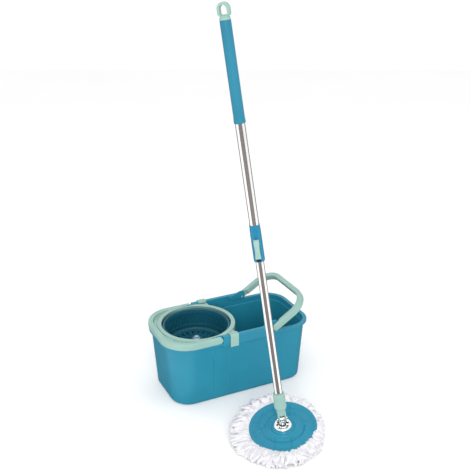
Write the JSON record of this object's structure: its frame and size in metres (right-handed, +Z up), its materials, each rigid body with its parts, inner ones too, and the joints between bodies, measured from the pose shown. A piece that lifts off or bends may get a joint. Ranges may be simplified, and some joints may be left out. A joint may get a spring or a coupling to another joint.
{
  "type": "spin mop",
  "caption": "Long bucket with a slotted spin basket at one end and a folding bail handle at each end, with a hand-press mop that has a round disc head, fringe pad and telescoping pole.",
  "frame": {"origin": "on the bucket's base plane, under the middle of its rim", "axes": "+X along the bucket from the spin basket end to the open water end, -Y to the side where the mop stands, +Z up"},
  "size_m": [0.477, 0.6326, 1.1809],
  "materials": {
    "teal_plastic": "smooth moulded polypropylene, semi-gloss",
    "teal_soft": "matt soft-feel grip",
    "mint_plastic": "smooth moulded polypropylene, semi-gloss",
    "white_plastic": "moulded acetal or polypropylene",
    "chrome": "polished plated steel",
    "steel": "plain turned or twisted steel",
    "microfibre": "white chenille microfibre pile"
  },
  "bodies": {
    "bucket": {"bucket_shell": "teal_plastic", "bail_pin_left_front": "mint_plastic", "bail_pin_left_back": "mint_plastic", "bail_pin_right_front": "mint_plastic", "bail_pin_right_back": "mint_plastic", "basket_spindle": "steel", "spindle_washer": "steel"},
    "left_bail": {"bail_left": "mint_plastic"},
    "right_bail": {"bail_right": "mint_plastic"},
    "frame_assembly": {"basket_frame": "mint_plastic", "rim_clip_front": "mint_plastic", "rim_clip_back": "mint_plastic"},
    "basket": {"spin_basket": "teal_plastic", "basket_hub": "steel", "basket_bearing": "white_plastic"},
    "lower_pole": {"fork_socket": "mint_plastic", "hinge_pin": "steel", "collar_nut": "mint_plastic", "lower_tube": "chrome", "guide_cap": "white_plastic"},
    "screw_nut": {"drive_nut": "white_plastic"},
    "upper_pole": {"upper_tube": "chrome", "clamp_housing": "teal_plastic", "lever_pin": "steel", "grip": "teal_soft", "hanging_loop": "mint_plastic", "drive_screw": "steel"},
    "lever": {"lock_lever": "mint_plastic"},
    "head_pivot": {"plate_pivot": "chrome"},
    "mop_head": {"fringe": "microfibre", "fringe_ring": "white_plastic", "mop_plate": "teal_plastic", "plate_hub": "chrome"}
  },
  "joints": [
    {"name": "left_bail_fold", "type": "hinge", "parent": "bucket", "child": "left_bail", "pos_m": [-0.075, 0, 0.2075], "axis": [0, 1, 0], "range_deg": [0, 90]},
    {"name": "right_bail_fold", "type": "hinge", "parent": "bucket", "child": "right_bail", "pos_m": [0.112, 0, 0.2075], "axis": [0, -1, 0], "range_deg": [-32, 58]},
    {"name": "frame_lift", "type": "slide", "parent": "bucket", "child": "frame_assembly", "axis": [0, 0, 1], "range_m": [0, 0.06]},
    {"name": "basket_spin", "type": "hinge", "parent": "bucket", "child": "basket", "pos_m": [-0.0974, 0, 0.15], "axis": [0, 0, 1], "continuous": true},
    {"name": "mop_lift", "type": "slide", "parent": "bucket", "child": "lower_pole", "axis": [0, 0, 1], "range_m": [0, 0.25]},
    {"name": "head_tilt", "type": "hinge", "parent": "lower_pole", "child": "head_pivot", "pos_m": [0.00041, -0.36779, 0.06901], "axis": [-0.9591, 0.2481, -0.1364], "range_deg": [-58, 81]},
    {"name": "plate_swivel", "type": "hinge", "parent": "head_pivot", "child": "mop_head", "pos_m": [0.0057, -0.364, 0.0387], "axis": [-0.1707, -0.1222, 0.9777], "continuous": true},
    {"name": "press_slide", "type": "slide", "parent": "lower_pole", "child": "upper_pole", "axis": [-0.1225, 0.0707, 0.9899], "range_m": [-0.25, 0]},
    {"name": "nut_turn", "type": "hinge", "parent": "lower_pole", "child": "screw_nut", "pos_m": [-0.07835, -0.32233, 0.70555], "axis": [-0.1225, 0.0707, 0.9899], "range_deg": [-5, 1130]},
    {"name": "lever_open", "type": "hinge", "parent": "upper_pole", "child": "lever", "pos_m": [-0.07529, -0.34511, 0.60755], "axis": [-0.8587, 0.4926, -0.1414], "range_deg": [0, 100]}
  ],
  "couplings": [
    {"joint": "nut_turn", "follows": "press_slide", "rad_per_m": -78.54}
  ]
}
